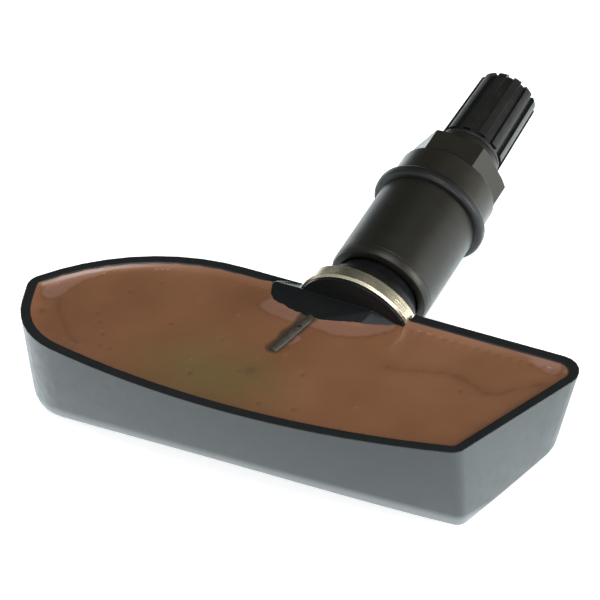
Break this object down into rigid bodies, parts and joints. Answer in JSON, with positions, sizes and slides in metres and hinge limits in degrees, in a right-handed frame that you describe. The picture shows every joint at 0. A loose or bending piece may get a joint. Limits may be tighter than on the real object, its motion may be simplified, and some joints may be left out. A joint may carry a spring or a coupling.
{
  "type": "tyre pressure sensor",
  "caption": "Clamp-in tyre pressure sensor: a potted black plastic tray with an arched underside and a metal valve with a ribbed cap.",
  "frame": {"origin": "centre of the seat washer's outer face on the valve's axis, where the sensor is clamped to the wheel", "axes": "+X along the tray towards its square end, +Y away from the tray on the valve's side, +Z out of the potted face; the valve leans 9.4 degrees up from +Y"},
  "size_m": [0.0797, 0.0769, 0.0232],
  "materials": {
    "tray_plastic": "satin black moulded plastic",
    "potting_resin": "glossy brown cast resin",
    "board_laminate": "green laminate",
    "cell_steel": "satin",
    "tab_nickel": "bright",
    "chip_plastic": "matt",
    "ferrite": "matt",
    "copper_wire": "enamelled",
    "chip_ceramic": "matt",
    "stem_brass": "turned",
    "washer_nickel": "turned, nickel plated",
    "grommet_rubber": "matt",
    "valve_dark": "dark bronze anodised",
    "ring_dark": "smooth black",
    "nut_dark": "dark bronze anodised",
    "seal_red": "smooth",
    "cap_plastic": "satin black"
  },
  "bodies": {
    "sensor": {"housing": "tray_plastic", "potting": "potting_resin", "circuit_board": "board_laminate", "battery_cell": "cell_steel", "battery_tab_top": "tab_nickel", "battery_tab_bottom": "tab_nickel", "sensor_chip": "chip_plastic", "port_tube": "tray_plastic", "antenna_core": "ferrite", "antenna_winding": "copper_wire", "crystal_can": "tab_nickel", "rf_filter": "chip_plastic", "chip_capacitors": "chip_ceramic", "chip_resistors": "chip_plastic", "antenna_strap": "tab_nickel", "valve_stem": "stem_brass", "seat_washer": "washer_nickel", "grommet": "grommet_rubber", "sleeve": "valve_dark", "core_body": "stem_brass", "core_seal": "seal_red", "core_spring": "tab_nickel"},
    "core_plunger": {"core_pin": "stem_brass", "core_cup_seal": "grommet_rubber"},
    "ring_piece": {"clamp_ring": "ring_dark"},
    "nut_piece": {"hex_nut": "nut_dark"},
    "cap_liner": {"cap_seal": "grommet_rubber"},
    "cap_piece": {"cap_shell": "cap_plastic"}
  },
  "joints": [
    {"name": "core_press", "type": "slide", "parent": "sensor", "child": "core_plunger", "axis": [0, -0.9866, -0.1633], "range_m": [0, 0.0012], "stiffness_N_per_m": 1500, "springref_m": -0.002},
    {"name": "nut_lift", "type": "slide", "parent": "sensor", "child": "ring_piece", "axis": [0, 0.9866, 0.1633], "range_m": [0, 0.00014583]},
    {"name": "nut_turn", "type": "hinge", "parent": "ring_piece", "child": "nut_piece", "pos_m": [0, 0, 0], "axis": [0, 0.9866, 0.1633], "range_deg": [0, 70.2]},
    {"name": "cap_lift", "type": "slide", "parent": "sensor", "child": "cap_liner", "axis": [0, 0.9866, 0.1633], "range_m": [0, 0.00794]},
    {"name": "cap_turn", "type": "hinge", "parent": "cap_liner", "child": "cap_piece", "pos_m": [0, 0, 0], "axis": [0, 0.9866, 0.1633], "range_deg": [0, 3602]}
  ],
  "couplings": [
    {"joint": "nut_turn", "follows": "nut_lift", "rad_per_m": 8377.6},
    {"joint": "cap_turn", "follows": "cap_lift", "rad_per_m": 7915.8}
  ]
}
